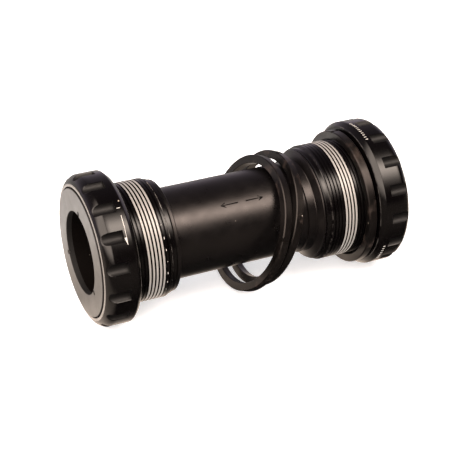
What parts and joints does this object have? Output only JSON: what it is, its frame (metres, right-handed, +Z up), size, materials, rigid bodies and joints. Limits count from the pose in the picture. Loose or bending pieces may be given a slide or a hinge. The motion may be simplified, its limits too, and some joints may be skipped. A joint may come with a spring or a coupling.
{
  "type": "bottom bracket",
  "caption": "Threaded external-cup crank bearing set: two notched cups with cartridge bearings joined by a plastic inner sleeve, with shell spacers.",
  "frame": {"origin": "on the crank spindle's axis, midway between the outer faces of the two dust caps", "axes": "+Y along the spindle axis towards the left cup, +X forwards on the bicycle, +Z up"},
  "size_m": [0.044, 0.0958, 0.044],
  "materials": {
    "anodised_cup": "gloss black anodised, with a band of bare turned thread",
    "bearing_steel": "ground",
    "ball_steel": "polished",
    "cage_nylon": "moulded nylon",
    "seal_rubber": "moulded",
    "o_ring_rubber": "moulded",
    "cap_plastic": "satin moulded plastic",
    "bush_plastic": "moulded plastic",
    "sleeve_plastic": "satin moulded plastic",
    "spacer_plastic": "scuffed moulded plastic"
  },
  "bodies": {
    "sleeve": {"centre_sleeve": "sleeve_plastic", "left_sleeve_o_ring": "o_ring_rubber", "right_sleeve_o_ring": "o_ring_rubber"},
    "left_cup_body": {"left_cup": "anodised_cup", "left_bearing_outer_race": "bearing_steel", "left_bearing_outer_seal": "seal_rubber", "left_bearing_inner_seal": "seal_rubber", "left_back_seal": "seal_rubber"},
    "left_turning_sleeve": {"left_bearing_inner_race": "bearing_steel", "left_spindle_bush": "bush_plastic", "left_dust_cap": "cap_plastic"},
    "left_ball_set": {"left_bearing_balls": "ball_steel", "left_bearing_cage": "cage_nylon"},
    "right_cup_body": {"right_cup": "anodised_cup", "right_bearing_outer_race": "bearing_steel", "right_bearing_outer_seal": "seal_rubber", "right_bearing_inner_seal": "seal_rubber", "right_back_seal": "seal_rubber"},
    "right_turning_sleeve": {"right_bearing_inner_race": "bearing_steel", "right_spindle_bush": "bush_plastic", "right_dust_cap": "cap_plastic"},
    "right_ball_set": {"right_bearing_balls": "ball_steel", "right_bearing_cage": "cage_nylon"},
    "right_cup_spacer_body": {"right_cup_spacer": "spacer_plastic"},
    "loose_spacer_a_body": {"loose_spacer_a": "spacer_plastic"},
    "loose_spacer_b_body": {"loose_spacer_b": "spacer_plastic"}
  },
  "joints": [
    {"name": "left_cup_pull_off", "type": "slide", "parent": "sleeve", "child": "left_cup_body", "axis": [0, 1, 0], "range_m": [0, 0.012]},
    {"name": "left_bearing_spin", "type": "hinge", "parent": "left_cup_body", "child": "left_turning_sleeve", "pos_m": [0, 0.04275, 0], "axis": [0, 1, 0], "continuous": true},
    {"name": "left_ball_set_spin", "type": "hinge", "parent": "left_cup_body", "child": "left_ball_set", "pos_m": [0, 0.04275, 0], "axis": [0, 1, 0], "continuous": true},
    {"name": "right_cup_pull_off", "type": "slide", "parent": "sleeve", "child": "right_cup_body", "axis": [0, -1, 0], "range_m": [0, 0.012]},
    {"name": "right_bearing_spin", "type": "hinge", "parent": "right_cup_body", "child": "right_turning_sleeve", "pos_m": [0, -0.04275, 0], "axis": [0, 1, 0], "continuous": true},
    {"name": "right_ball_set_spin", "type": "hinge", "parent": "right_cup_body", "child": "right_ball_set", "pos_m": [0, -0.04275, 0], "axis": [0, 1, 0], "continuous": true},
    {"name": "right_cup_spacer_slide", "type": "slide", "parent": "right_cup_body", "child": "right_cup_spacer_body", "axis": [0, 1, 0], "range_m": [-0.0006, 0.012]},
    {"name": "loose_spacer_b_slide", "type": "slide", "parent": "sleeve", "child": "loose_spacer_b_body", "axis": [0, 1, 0], "range_m": [-0.00025, 0.021]},
    {"name": "loose_spacer_a_slide", "type": "slide", "parent": "loose_spacer_b_body", "child": "loose_spacer_a_body", "axis": [0, 1, 0], "range_m": [-0.001, 0.004]}
  ],
  "couplings": [
    {"joint": "left_ball_set_spin", "follows": "left_bearing_spin", "ratio": 0.45161},
    {"joint": "right_ball_set_spin", "follows": "right_bearing_spin", "ratio": 0.45161}
  ]
}
